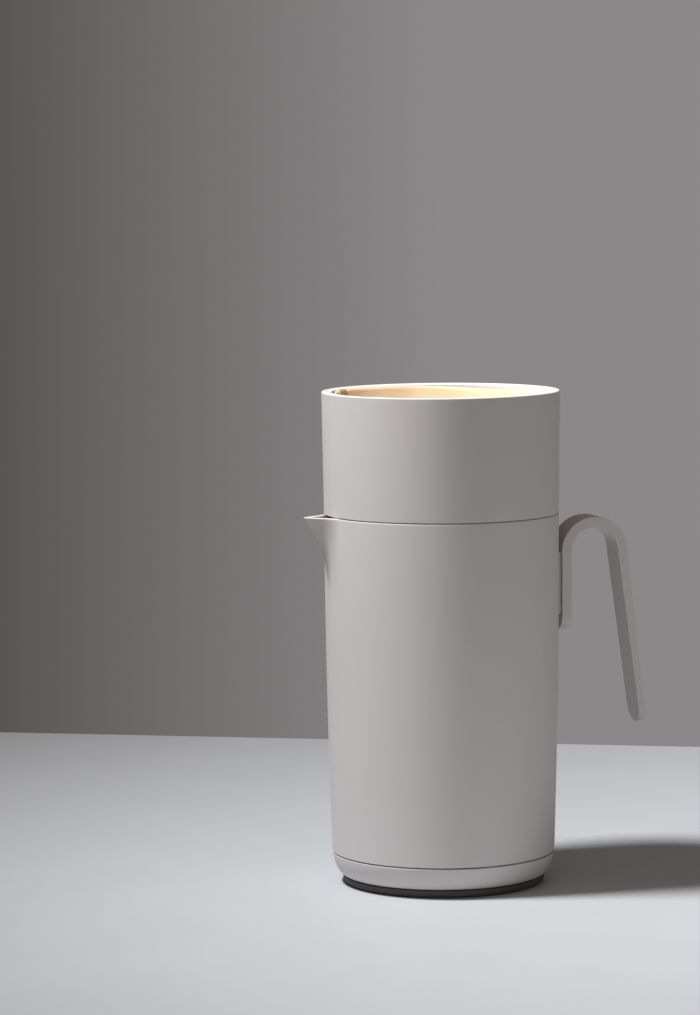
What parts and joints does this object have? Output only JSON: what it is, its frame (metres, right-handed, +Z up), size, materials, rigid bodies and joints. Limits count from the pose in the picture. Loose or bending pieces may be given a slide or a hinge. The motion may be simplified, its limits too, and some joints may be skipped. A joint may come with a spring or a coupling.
{
  "type": "insulated jug",
  "caption": "Insulated coffee jug with a beak spout, open hook handle and vacuum flask, and a pour-over filter holder with cone and paper that lifts off its rim.",
  "frame": {"origin": "centre of the foot pad's flat underside, on the jug's axis", "axes": "+Z up along the jug's axis, handle along +X, spout along -X"},
  "size_m": [0.175, 0.118, 0.2451],
  "materials": {
    "grey_plastic": "fine matte moulded texture, warm light grey",
    "cone_plastic": "satin moulded, off-white grey",
    "foot_silicone": "matte dark silicone of the foot and the outer seals",
    "gasket_silicone": "matte silicone in the casing's grey",
    "seal_silicone": "matte pale silicone",
    "flask_steel": "brushed stainless steel",
    "fixing_steel": "plain steel",
    "insert_brass": "turned brass",
    "seal_glass": "fused sealing bead",
    "filter_paper": "creped natural filter paper"
  },
  "bodies": {
    "jug": {"body_shell": "grey_plastic", "base_cap": "grey_plastic", "base_seal_ring": "foot_silicone", "foot_pad": "foot_silicone", "flask_inner_wall": "flask_steel", "flask_outer_wall": "flask_steel", "vacuum_seal_bead": "seal_glass", "neck_seal": "seal_silicone", "flask_support_pad": "seal_silicone", "handle_strap": "grey_plastic", "handle_gasket": "gasket_silicone", "handle_backing_plate": "fixing_steel", "handle_screw_upper": "fixing_steel", "handle_screw_lower": "fixing_steel", "handle_insert_upper": "insert_brass", "handle_insert_lower": "insert_brass"},
    "dripper": {"dripper_shell": "grey_plastic", "dripper_seal": "foot_silicone"},
    "cone": {"filter_cone": "cone_plastic"},
    "paper": {"paper_filter": "filter_paper"}
  },
  "joints": [
    {"name": "dripper_lift", "type": "slide", "parent": "jug", "child": "dripper", "axis": [0, 0, 1], "range_m": [0, 0.12]},
    {"name": "cone_lift", "type": "slide", "parent": "dripper", "child": "cone", "axis": [0, 0, 1], "range_m": [0, 0.11]},
    {"name": "paper_lift", "type": "slide", "parent": "cone", "child": "paper", "axis": [0, 0, 1], "range_m": [0, 0.105]}
  ]
}
